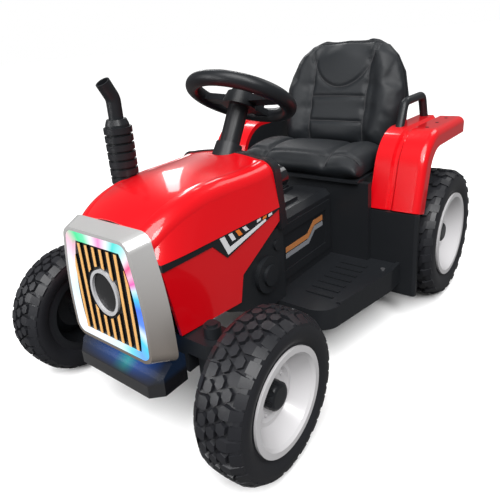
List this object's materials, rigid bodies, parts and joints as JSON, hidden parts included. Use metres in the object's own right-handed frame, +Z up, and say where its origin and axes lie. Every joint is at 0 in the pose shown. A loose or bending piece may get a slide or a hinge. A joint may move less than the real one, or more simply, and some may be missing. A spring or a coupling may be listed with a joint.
{
  "type": "ride on tractor toy",
  "caption": "Battery ride-on toy tractor for a small child: arched red bonnet over a lit grille, linked steering, padded seat, fenders with grab handles and treaded wheels.",
  "frame": {"origin": "on the ground under the middle of the bounding box", "axes": "+Z up, the tractor faces -Y, the driver's left is +X, the axles run along X"},
  "size_m": [0.5242, 0.799, 0.5123],
  "materials": {
    "red_gloss": "glossy",
    "charcoal_plastic": "satin",
    "tyre_rubber": "matte",
    "white_rim": "satin",
    "silver_trim": "satin metallic",
    "light_lens": "diffusing",
    "gold_trim": "satin metallic",
    "bright_ring": "polished",
    "black_button": "glossy",
    "bare_steel": "satin",
    "seat_leather": "soft grain",
    "drive_case": "matte"
  },
  "bodies": {
    "chassis": {"battery": "drive_case", "bonnet": "red_gloss", "centre_console": "charcoal_plastic", "control_box": "drive_case", "dash_panel": "charcoal_plastic", "drive_unit_left": "drive_case", "drive_unit_right": "drive_case", "engine_block": "charcoal_plastic", "exhaust_muffler": "charcoal_plastic", "exhaust_pipe": "charcoal_plastic", "fender_left": "red_gloss", "fender_right": "red_gloss", "fender_support_left": "charcoal_plastic", "fender_support_right": "charcoal_plastic", "floor_pan": "charcoal_plastic", "front_axle_beam": "charcoal_plastic", "front_bumper": "charcoal_plastic", "front_frame": "charcoal_plastic", "grab_handle_left": "charcoal_plastic", "grab_handle_right": "charcoal_plastic", "grille_bars": "gold_trim", "grille_insert": "charcoal_plastic", "grille_ring": "bright_ring", "grille_surround": "silver_trim", "light_strip": "light_lens", "media_panel": "charcoal_plastic", "rear_axle": "bare_steel", "seat_backrest": "seat_leather", "seat_base": "charcoal_plastic", "seat_cushion": "seat_leather", "seat_shell": "charcoal_plastic", "side_panel_left": "red_gloss", "side_panel_right": "red_gloss", "start_button_housing": "bright_ring", "tow_hitch": "charcoal_plastic", "trim_band_left": "charcoal_plastic", "trim_band_right": "charcoal_plastic"},
    "steering": {"steering_shaft": "bare_steel", "steering_neck": "charcoal_plastic", "steering_wheel": "charcoal_plastic"},
    "horn": {"horn_button": "black_button"},
    "knuckle_left_body": {"knuckle_left": "bare_steel"},
    "knuckle_right_body": {"knuckle_right": "bare_steel"},
    "tie_rod_body": {"tie_rod": "bare_steel"},
    "front_wheel_left": {"front_tyre_left": "tyre_rubber", "front_rim_left": "white_rim", "front_hub_cap_left": "charcoal_plastic"},
    "front_wheel_right": {"front_tyre_right": "tyre_rubber", "front_rim_right": "white_rim", "front_hub_cap_right": "charcoal_plastic"},
    "rear_wheel_left": {"rear_tyre_left": "tyre_rubber", "rear_rim_left": "white_rim", "rear_hub_cap_left": "charcoal_plastic"},
    "rear_wheel_right": {"rear_tyre_right": "tyre_rubber", "rear_rim_right": "white_rim", "rear_hub_cap_right": "charcoal_plastic"},
    "accelerator": {"accelerator_pedal": "charcoal_plastic"},
    "start_push": {"start_button": "black_button"},
    "direction": {"direction_rocker": "black_button"}
  },
  "joints": [
    {"name": "steering_turn", "type": "hinge", "parent": "chassis", "child": "steering", "pos_m": [0, -0.0895, 0.346], "axis": [0, 0.5, 0.866], "range_deg": [-25, 25]},
    {"name": "horn_press", "type": "slide", "parent": "steering", "child": "horn", "axis": [0, 0.5, 0.866], "range_m": [-0.002, 0], "stiffness_N_per_m": 400},
    {"name": "kingpin_left", "type": "hinge", "parent": "chassis", "child": "knuckle_left_body", "pos_m": [0.123, -0.2905, 0.15], "axis": [0, 0, 1], "range_deg": [-25, 25]},
    {"name": "kingpin_right", "type": "hinge", "parent": "chassis", "child": "knuckle_right_body", "pos_m": [-0.123, -0.2905, 0.15], "axis": [0, 0, 1], "range_deg": [-25, 25]},
    {"name": "tie_rod_pivot", "type": "hinge", "parent": "knuckle_left_body", "child": "tie_rod_body", "pos_m": [0.123, -0.2505, 0.1], "axis": [0, 0, 1], "range_deg": [-25, 25]},
    {"name": "front_wheel_left_spin", "type": "hinge", "parent": "knuckle_left_body", "child": "front_wheel_left", "pos_m": [0.2065, -0.2905, 0.109], "axis": [1, 0, 0], "continuous": true},
    {"name": "front_wheel_right_spin", "type": "hinge", "parent": "knuckle_right_body", "child": "front_wheel_right", "pos_m": [-0.2065, -0.2905, 0.109], "axis": [1, 0, 0], "continuous": true},
    {"name": "rear_wheel_left_spin", "type": "hinge", "parent": "chassis", "child": "rear_wheel_left", "pos_m": [0.225, 0.2725, 0.127], "axis": [1, 0, 0], "continuous": true},
    {"name": "rear_wheel_right_spin", "type": "hinge", "parent": "chassis", "child": "rear_wheel_right", "pos_m": [-0.225, 0.2725, 0.127], "axis": [1, 0, 0], "continuous": true},
    {"name": "accelerator_press", "type": "hinge", "parent": "chassis", "child": "accelerator", "pos_m": [-0.141, -0.0065, 0.119], "axis": [1, 0, 0], "range_deg": [0, 9], "stiffness_Nm_per_rad": 2},
    {"name": "start_press", "type": "slide", "parent": "chassis", "child": "start_push", "axis": [0, 1, 0], "range_m": [-0.003, 0], "stiffness_N_per_m": 400},
    {"name": "direction_rock", "type": "hinge", "parent": "chassis", "child": "direction", "pos_m": [0, 0.0655, 0.2463], "axis": [1, 0, 0], "range_deg": [-8, 8]}
  ],
  "couplings": [
    {"joint": "kingpin_left", "follows": "steering_turn", "ratio": 1},
    {"joint": "kingpin_right", "follows": "steering_turn", "ratio": 1},
    {"joint": "tie_rod_pivot", "follows": "steering_turn", "ratio": -1}
  ]
}
